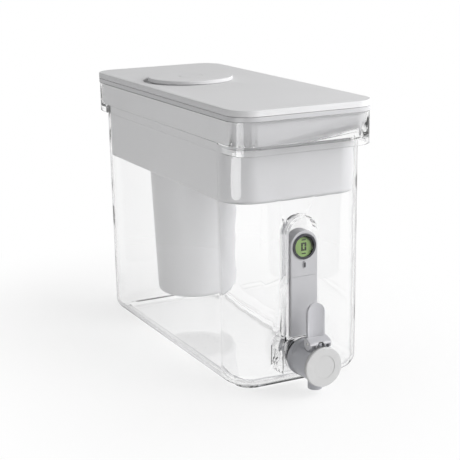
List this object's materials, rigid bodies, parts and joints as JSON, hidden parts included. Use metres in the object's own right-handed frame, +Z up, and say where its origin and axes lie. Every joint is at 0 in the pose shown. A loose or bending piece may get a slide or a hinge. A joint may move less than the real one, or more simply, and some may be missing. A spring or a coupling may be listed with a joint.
{
  "type": "gravity water filter with tap",
  "caption": "Slim clear water tank with a lever tap and a small display on its front end, under a grey hopper with a filter cup and a flat lid with a round fill cap.",
  "frame": {"origin": "middle of the tank's flat foot, on the table", "axes": "+Z up, the tap points along -Y, the lid's long side runs along Y"},
  "size_m": [0.156, 0.396, 0.2893],
  "materials": {
    "clear_polymer": "clear injection-moulded polymer, glossy",
    "window_polymer": "clear flat window, glossy",
    "hopper_plastic": "light grey moulded plastic, satin",
    "lid_plastic": "light grey moulded plastic, satin",
    "filter_plastic": "white grey moulded plastic",
    "filter_media": "granular carbon and resin beads, packed",
    "screen_mesh": "fine woven polymer mesh",
    "silicone": "translucent grey silicone",
    "black_rubber": "black rubber, matte",
    "tap_grey": "mid grey moulded plastic, satin",
    "cap_plastic": "light grey moulded plastic, satin",
    "stem_plastic": "white acetal",
    "steel": "stainless steel",
    "meter_plastic": "light grey moulded plastic, satin",
    "bezel_plastic": "dark grey moulded plastic",
    "lcd_glass": "green liquid crystal panel",
    "board_laminate": "green laminate",
    "contact_metal": "plated spring strip"
  },
  "bodies": {
    "base": {"tank": "clear_polymer", "tap_body": "tap_grey", "tap_end_cap": "cap_plastic", "end_cap_seal": "black_rubber", "outer_gasket": "black_rubber", "inner_gasket": "black_rubber", "shank_nut": "tap_grey", "inlet_hood": "clear_polymer", "pivot_pin": "steel", "stem_seal": "black_rubber"},
    "hopper_assembly": {"hopper": "hopper_plastic"},
    "cartridge": {"filter_housing": "filter_plastic", "filter_cap": "filter_plastic", "filter_seal": "silicone", "filter_media": "filter_media", "top_screen": "screen_mesh", "bottom_screen": "screen_mesh"},
    "lid_plate": {"lid": "lid_plastic"},
    "fill_cap_piece": {"fill_cap": "lid_plastic"},
    "display_unit": {"meter_housing": "meter_plastic", "battery_cover": "meter_plastic", "meter_back_cover": "meter_plastic", "display_bezel": "bezel_plastic", "display_window": "window_polymer", "lcd_panel": "lcd_glass", "circuit_board": "board_laminate", "coin_cells": "steel", "battery_contact": "contact_metal"},
    "button": {"meter_button": "meter_plastic"},
    "tap_lever": {"lever": "tap_grey"},
    "valve": {"valve_stem": "stem_plastic", "valve_plug": "silicone", "valve_spring": "steel"}
  },
  "joints": [
    {"name": "hopper_lift", "type": "slide", "parent": "base", "child": "hopper_assembly", "axis": [0, 0, 1], "range_m": [0, 0.25]},
    {"name": "cartridge_lift", "type": "slide", "parent": "hopper_assembly", "child": "cartridge", "axis": [0, 0, 1], "range_m": [0, 0.055]},
    {"name": "lid_lift", "type": "slide", "parent": "hopper_assembly", "child": "lid_plate", "axis": [0, 0, 1], "range_m": [0, 0.08]},
    {"name": "fill_cap_lift", "type": "slide", "parent": "lid_plate", "child": "fill_cap_piece", "axis": [0, 0, 1], "range_m": [0, 0.05]},
    {"name": "display_lift", "type": "slide", "parent": "base", "child": "display_unit", "axis": [0, 0, 1], "range_m": [0, 0.008]},
    {"name": "button_press", "type": "slide", "parent": "display_unit", "child": "button", "axis": [0, 1, 0], "range_m": [0, 0.0008], "stiffness_N_per_m": 400, "springref_m": -0.0004},
    {"name": "lever_pull", "type": "hinge", "parent": "base", "child": "tap_lever", "pos_m": [0, -0.1985, 0.054], "axis": [1, 0, 0], "range_deg": [0, 37]},
    {"name": "valve_lift", "type": "slide", "parent": "base", "child": "valve", "axis": [0, 0, 1], "range_m": [0, 0.00294], "stiffness_N_per_m": 400, "springref_m": -0.004, "deforming": ["valve_spring"]}
  ],
  "couplings": [
    {"joint": "lever_pull", "follows": "valve_lift", "rad_per_m": 213.79}
  ]
}
